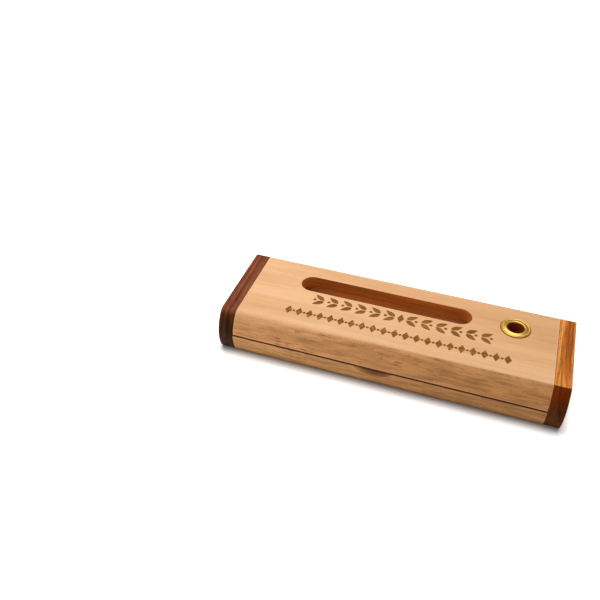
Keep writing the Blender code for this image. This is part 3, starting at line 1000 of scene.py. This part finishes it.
def pin_holes(signs, ends, surface):
    """Cutters for the hinge pins, between two x values, at the ends with those signs: -1 left, 1 right."""
    radius = (PIN_HIGH.y - PIN_LOW.y) / 2 + CLEARANCE
    holes = []
    for sign in signs:
        cutter = rod(f"cut_pin{sign}", PIVOT.y, PIVOT.z, radius, [sign * x for x in ends])
        holes.append((cutter, surface))
    return holes


def dowel_holes(signs, ends, surface):
    """Cutters for the front and rear dowels, at the same ends."""
    holes = []
    for low, high in ((DOWEL_LOW, DOWEL_HIGH), (REAR_DOWEL_LOW, REAR_DOWEL_HIGH)):
        middle = (low + high) / 2
        radius = (high.y - low.y) / 2 + CLEARANCE
        for sign in signs:
            cutter = rod(f"cut_dowel{sign}", middle.y, middle.z, radius, [sign * x for x in ends])
            holes.append((cutter, surface))
    return holes


def base_channel():
    """The pen's bed in the base, with a round bottom, round ends and an eased mouth."""
    middle_z = BASE_TOP - CHANNEL_DEPTH_IN_BASE + CHANNEL_RADIUS
    levels = []
    for step in range(1, BED_STEPS + 1):
        angle = radians(90 * step / BED_STEPS)
        levels.append((middle_z - CHANNEL_RADIUS * cos(angle), CHANNEL_RADIUS * sin(angle)))
    levels += eased_mouth(BASE_TOP, CHANNEL_RADIUS, CHANNEL_EASE)
    return routed("cut_channel", 0, PEN_LINE_Y, CHANNEL_LENGTH / 2 - CHANNEL_RADIUS, levels)


def finger_scoop():
    """The shallow dish that a fingertip uses, sunk into the base's front top edge."""
    cosine = cos(radians(SCOOP_RIM_ANGLE))
    sine = sin(radians(SCOOP_RIM_ANGLE))
    across = SCOOP_DEPTH / (1 - cosine)
    sizes = (SCOOP_HALF_LENGTH / sine, across, SCOOP_HEIGHT / sine)
    mesh = bmesh.new()
    bmesh.ops.create_uvsphere(mesh, u_segments=SCOOP_STEPS[0], v_segments=SCOOP_STEPS[1], radius=1)
    bmesh.ops.scale(mesh, vec=sizes, verts=mesh.verts)
    bmesh.ops.translate(mesh, vec=(SCOOP_X, -HALF_WIDTH - across * cosine, BASE_TOP), verts=mesh.verts)
    return object_from("cut_scoop", mesh)


def make_base(surfaces):
    piece = block("beech_base", base_section, -BASE_END_X, BASE_END_X, BASE_EASE, BASE_EASE)
    piece.data.materials.append(surfaces["base"])
    magnet_depth = BASE_TOP - MAGNET_LOW.z + CLEARANCE
    cutters = [(base_channel(), surfaces["bed"]), (finger_scoop(), surfaces["scoop"])]
    cutters += magnet_pockets(BASE_TOP, -1, magnet_depth, surfaces["bed"])
    cutters += dowel_holes((-1, 1), (DOWEL_LOW.x - CLEARANCE, CAP_INNER_X + OVERSHOOT), surfaces["bed"])
    carve(piece, cutters)
    return smooth(piece)


def lid_channel():
    """The cutter for the pen's channel in the lid's underside, with an eased mouth."""
    mouth = eased_mouth(LID_BOTTOM, CHANNEL_RADIUS, CHANNEL_EASE)
    levels = [(2 * LID_BOTTOM - z, radius) for z, radius in reversed(mouth)]
    levels.append((LID_BOTTOM + CHANNEL_DEPTH_IN_LID, CHANNEL_RADIUS))
    return routed("cut_lid_channel", 0, PEN_LINE_Y, CHANNEL_LENGTH / 2 - CHANNEL_RADIUS, levels)


def lid_window():
    """The cutter for the window, from the channel up through the lid's top."""
    levels = [(LID_BOTTOM + CHANNEL_DEPTH_IN_LID - OVERSHOOT, WINDOW_RADIUS)]
    levels += eased_mouth(HEIGHT, WINDOW_RADIUS, WINDOW_EASE)
    return routed("cut_window", WINDOW_X, PEN_LINE_Y, WINDOW_LENGTH / 2 - WINDOW_RADIUS, levels)


def socket_seat():
    """The stepped hole that the brass socket is pressed into."""
    seat_z = HEIGHT - FLANGE_THICKNESS - CLEARANCE
    tube_hole = TUBE_RADIUS + CLEARANCE
    flange_hole = FLANGE_RADIUS + CLEARANCE
    levels = [(LID_BOTTOM + CHANNEL_DEPTH_IN_LID - OVERSHOOT, tube_hole), (seat_z, tube_hole)]
    levels += [(seat_z, flange_hole), (HEIGHT + OVERSHOOT, flange_hole)]
    return routed("cut_seat", SOCKET_X, PEN_LINE_Y, 0, levels)


def make_lid(surfaces):
    piece = block("beech_lid", lid_section, -LID_END_X, LID_END_X, LID_EASE, LID_EASE)
    piece.data.materials.append(surfaces["lid"])
    magnet_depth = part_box("right_lid_magnet")[1].z - LID_BOTTOM + CLEARANCE
    cutters = [(lid_channel(), surfaces["bed"]), (lid_window(), surfaces["window"])]
    cutters.append((socket_seat(), surfaces["window"]))
    cutters += magnet_pockets(LID_BOTTOM, 1, magnet_depth, surfaces["bed"])
    cutters += pin_holes((-1, 1), (PIN_LOW.x - CLEARANCE, CAP_INNER_X + OVERSHOOT), surfaces["bed"])
    cutters.append((stamp("cut_leaves", leaf_row()), surfaces["burnt"]))
    cutters.append((stamp("cut_diamonds", diamond_row()), surfaces["burnt"]))
    carve(piece, cutters)
    return smooth(piece)


def make_cap(side, sign, surface):
    """An end cap, its outer edge eased more than its glued edge."""
    ends = sorted((sign * CAP_INNER_X, sign * HALF_LENGTH))
    eases = (CAP_OUTER_EASE, CAP_INNER_EASE)
    if sign > 0:
        eases = (CAP_INNER_EASE, CAP_OUTER_EASE)
    piece = block(f"{side}_rosewood_cap", cap_section, *ends, *eases)
    piece.data.materials.append(surface)
    cutters = dowel_holes((sign,), (CAP_INNER_X - OVERSHOOT, DOWEL_HIGH.x + CLEARANCE), surface)
    cutters += pin_holes((sign,), (CAP_INNER_X - OVERSHOOT, PIN_HIGH.x + CLEARANCE), surface)
    carve(piece, cutters)
    return smooth(piece)


def socket_profile():
    """The socket's section as (radius, z) points: beaded rim, shallow dish, rolled crest and tube."""
    top = SOCKET_HIGH.z
    rim_radius = FLANGE_RADIUS + CLEARANCE - RIM_GAP
    crest = (TUBE_RADIUS + HOLE_RADIUS) / 2 + CREST_SHIFT
    roll = crest - HOLE_RADIUS
    under_z = HEIGHT - FLANGE_THICKNESS
    points = [(TUBE_RADIUS, SOCKET_LOW.z), (TUBE_RADIUS, under_z), (rim_radius, under_z)]
    bead_centre = (rim_radius - BEAD_RADIUS, HEIGHT + BEAD_LIFT)
    points += arc(bead_centre, BEAD_RADIUS, 0, radians(BEAD_ANGLE), BEAD_STEPS)
    start = Vector(points[-1])
    end = Vector((crest + DISH_END[0], top - DISH_END[1]))
    for step in range(1, DISH_STEPS):
        share = step / DISH_STEPS
        radius, z = start + (end - start) * share
        points.append((radius, z - sin(pi * share) * DISH_SAG))
    for step in range(CREST_STEPS + 1):
        angle = radians(CREST_ANGLE + (180 - CREST_ANGLE) * step / CREST_STEPS)
        points.append((crest + roll * cos(angle), top - CREST_DROP + CREST_DROP * sin(angle)))
    points.append((HOLE_RADIUS, SOCKET_LOW.z))
    return points


def make_socket(polished, inside):
    """The brass socket, polished outside, with painted shade down its bore."""
    rings = [obround(SOCKET_X, PEN_LINE_Y, z, 0, radius) for radius, z in socket_profile()]
    piece = lofted("brass_socket", rings, closed=True)
    piece.data.materials.append(polished)
    piece.data.materials.append(inside)
    for face in piece.data.polygons:
        out = Vector((face.center.x - SOCKET_X, face.center.y - PEN_LINE_Y, 0))
        # Painted shade: the bore's faces below the rim take the dark material.
        if out.length < HOLE_RADIUS + BORE_MARGIN and face.center.z < HEIGHT - BORE_SHADE_DEPTH:
            face.material_index = 1
    return smooth(piece, 40)


def make_surfaces():
    """The beech materials by the surface that they are for."""
    return {
        "base": beech("beech_base", 3, BASE_END_X),
        "lid": beech("beech_lid", 8, LID_END_X),
        "bed": routed_beech("routed_beech", 13, *BED_COLOURS),
        "window": routed_beech("dark_window_beech", 17, *WINDOW_COLOURS),
        "scoop": scoop_beech("scoop_beech", 19),
        "burnt": burnt_beech("burnt_beech", 23),
    }


def make_pieces():
    """Detailed pieces that stand for the parts that show."""
    surfaces = make_surfaces()
    left_wood = rosewood("left_rosewood", 29, LEFT_ROSEWOOD)
    right_wood = rosewood("right_rosewood", 31, RIGHT_ROSEWOOD)
    brass = metal("polished_brass", 37, BRASS, BRASS_FILM, 0.42)
    owners = [
        (make_base(surfaces), "case", "base", "beech"),
        (make_lid(surfaces), "lid", "lid", "beech"),
        (make_cap("left", -1, left_wood), "case", "left_end_cap", "rosewood"),
        (make_cap("right", 1, right_wood), "case", "right_end_cap", "rosewood"),
        (make_socket(brass, bore_shade("bore_shade_brass")), "lid", "pen_socket", "brass"),
    ]
    for piece, body, node, slot in owners:
        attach(piece, body)
        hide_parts(node)


def dress_hidden_parts():
    """Gives the dowels, pins and magnets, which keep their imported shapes, materials of their own."""
    hidden = {
        "dowel": beech("dowel_beech", 43, HALF_LENGTH),
        "pin": metal("pin_steel", 47, STEEL, STEEL_FILM, 0.3),
        "magnet": metal("magnet_nickel", 53, NICKEL, NICKEL_FILM, 0.4),
    }
    for name, node in frame["nodes"].items():
        for kind, surface in hidden.items():
            if name.endswith(kind):
                node.data.materials.clear()
                node.data.materials.append(surface)


# ---- the studio


def make_floor():
    bpy.ops.mesh.primitive_plane_add(size=FLOOR_SIZE, location=(0, 0, -FLOOR_DROP))
    floor = bpy.context.object
    floor.name = "floor"
    floor.data.materials.append(paper("studio_paper"))


def make_backdrop():
    """A white surround that only the camera sees, so that it doesn't change the light on the box."""
    surface, _, shader = blank_material("backdrop_white")
    shader.inputs["Base Color"].default_value = (0, 0, 0, 1)
    shader.inputs["Emission Color"].default_value = (1, 1, 1, 1)
    shader.inputs["Emission Strength"].default_value = 1.0
    mesh = bmesh.new()
    bmesh.ops.create_uvsphere(mesh, u_segments=48, v_segments=24, radius=BACKDROP_RADIUS)
    backdrop = object_from("backdrop", mesh)
    backdrop.data.materials.append(surface)
    for rays in ("diffuse", "glossy", "transmission", "volume_scatter", "shadow"):
        setattr(backdrop, "visible_" + rays, False)


def softbox(name, place, target, size, power):
    """A square area light that looks at a target."""
    light = bpy.data.lights.new(name, "AREA")
    light.shape = "SQUARE"
    light.size = size
    light.energy = power
    made = bpy.data.objects.new(name, light)
    bpy.context.collection.objects.link(made)
    made.location = place
    made.rotation_euler = (Vector(target) - Vector(place)).to_track_quat("-Z", "Y").to_euler()


def make_lights():
    softbox("overhead", OVERHEAD_PLACE, (0, 0, 0), OVERHEAD_SIZE, OVERHEAD_POWER)
    world = bpy.data.worlds.new("studio")
    bpy.context.scene.world = world
    world.use_nodes = True
    background = world.node_tree.nodes["Background"]
    background.inputs["Color"].default_value = (1, 1, 1, 1)
    background.inputs["Strength"].default_value = SKY


def make_camera():
    lens = bpy.data.cameras.new("camera")
    lens.lens = CAMERA_LENS
    lens.sensor_width = CAMERA_SENSOR
    lens.shift_x, lens.shift_y = CAMERA_SHIFT
    lens.clip_start = CAMERA_NEAR
    camera = bpy.data.objects.new("camera", lens)
    bpy.context.collection.objects.link(camera)
    turn = Matrix.Rotation(radians(CAMERA_TURN), 4, "Z")
    tilt = Matrix.Rotation(radians(90 - CAMERA_DOWN), 4, "X")
    roll = Matrix.Rotation(radians(CAMERA_ROLL), 4, "Z")
    camera.matrix_world = Matrix.Translation(CAMERA_PLACE) @ turn @ tilt @ roll
    bpy.context.scene.camera = camera


def make_studio():
    make_floor()
    make_backdrop()
    make_lights()
    make_camera()
    bpy.context.scene.view_settings.view_transform = "Standard"


make_pieces()
dress_hidden_parts()
make_studio()
